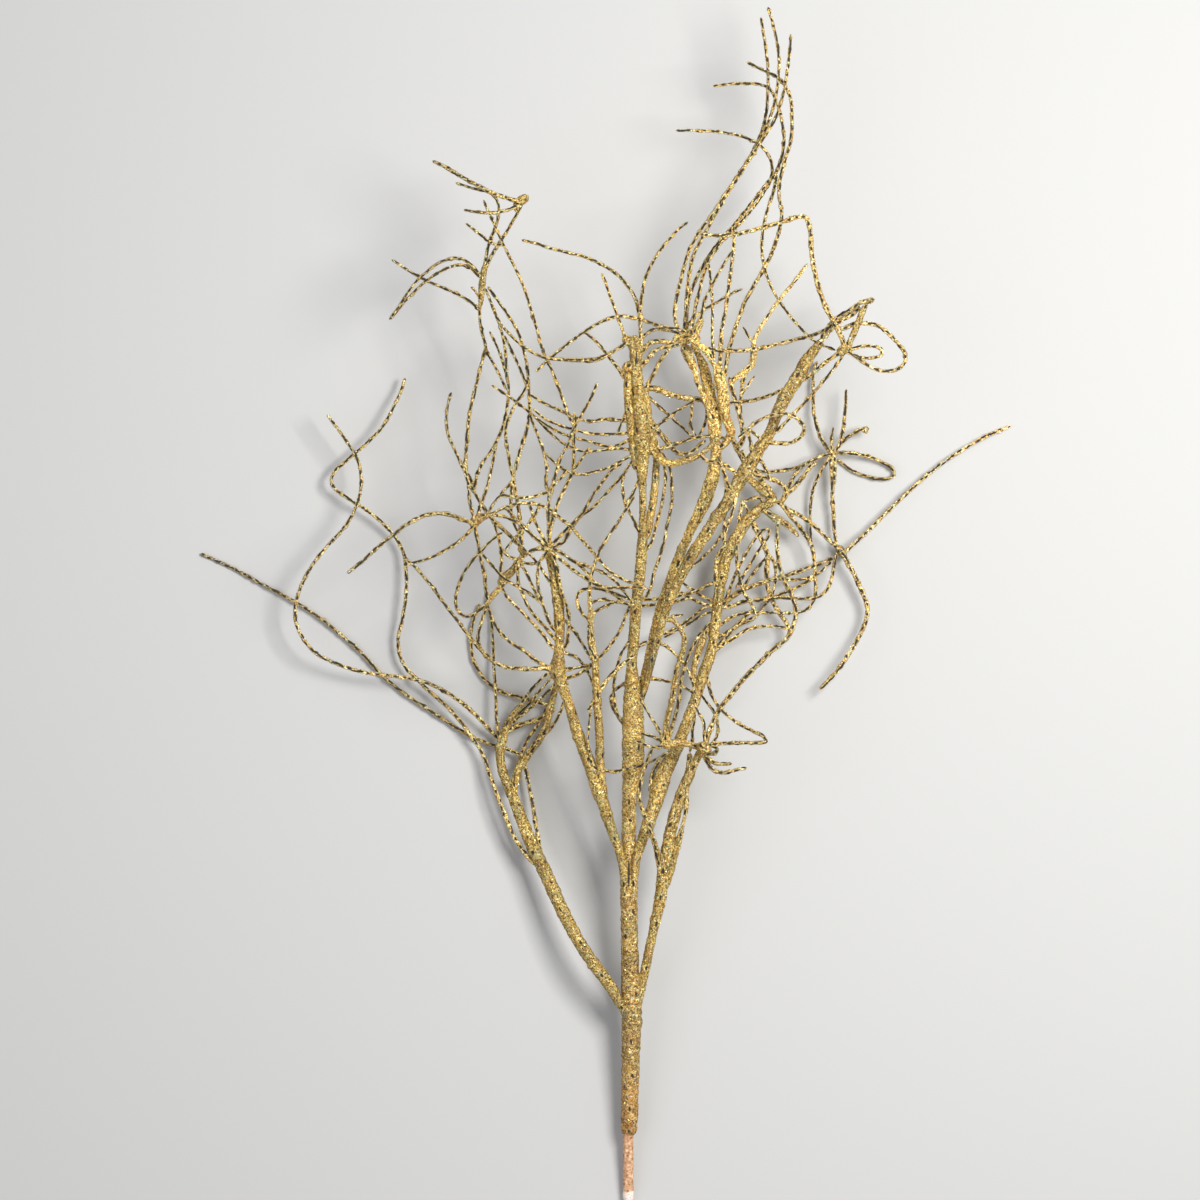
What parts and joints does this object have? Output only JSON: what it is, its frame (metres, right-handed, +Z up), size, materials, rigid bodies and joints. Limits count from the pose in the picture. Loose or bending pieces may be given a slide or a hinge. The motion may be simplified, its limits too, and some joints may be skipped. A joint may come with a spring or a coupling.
{
  "type": "glittered curly willow spray",
  "caption": "Decorative spray of curly willow: a wrapped stem that carries wrapped branches of fine curling twigs with a glitter finish, to lay down or to arrange.",
  "frame": {"origin": "middle of the base of the spray's box, on the surface that it lies on", "axes": "+Y along the stem from its cut end to the tips, +X to the right seen from above, +Z up off the surface"},
  "size_m": [0.6224, 0.9134, 0.171],
  "materials": {
    "stem_tape": "matt wrapped tape",
    "sheath_glitter": "coarse gold and champagne glitter",
    "gold_glitter": "gold and champagne glitter over brown bark"
  },
  "bodies": {
    "root": {"stem_core": "stem_tape", "main_stem": "sheath_glitter", "lower_left_branch": "gold_glitter", "upper_left_branch": "gold_glitter", "crown_branch": "gold_glitter", "upper_right_branch": "gold_glitter", "right_branch": "gold_glitter", "lower_right_branch": "gold_glitter"}
  },
  "joints": []
}
